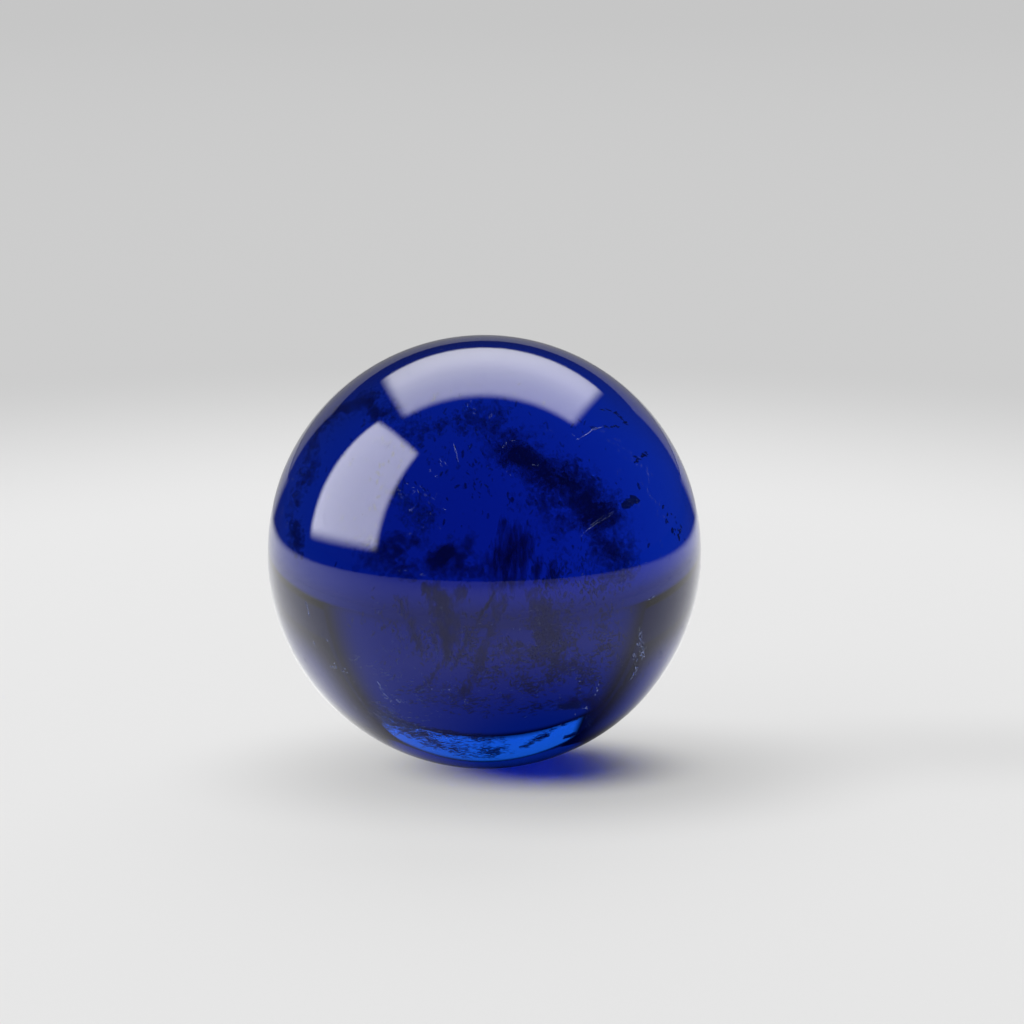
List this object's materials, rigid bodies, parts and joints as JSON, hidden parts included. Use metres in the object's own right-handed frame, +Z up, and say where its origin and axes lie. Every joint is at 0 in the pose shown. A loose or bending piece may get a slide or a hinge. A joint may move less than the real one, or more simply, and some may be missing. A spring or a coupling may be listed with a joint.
{
  "type": "glass sphere",
  "caption": "Small solid ball of transparent cobalt-blue glass with a polished surface, dark streaks and flecks inside and fine scratches.",
  "frame": {"origin": "centre of the ball", "axes": "+Z up, away from the surface that the ball is set on; the ball is alike about every axis, so +X and +Y are free to choose"},
  "size_m": [0.015, 0.015, 0.015],
  "materials": {
    "blue_glass": "polished transparent cobalt-blue glass, solid right through, with fine scratches"
  },
  "bodies": {
    "root": {"glass_sphere": "blue_glass"}
  },
  "joints": []
}
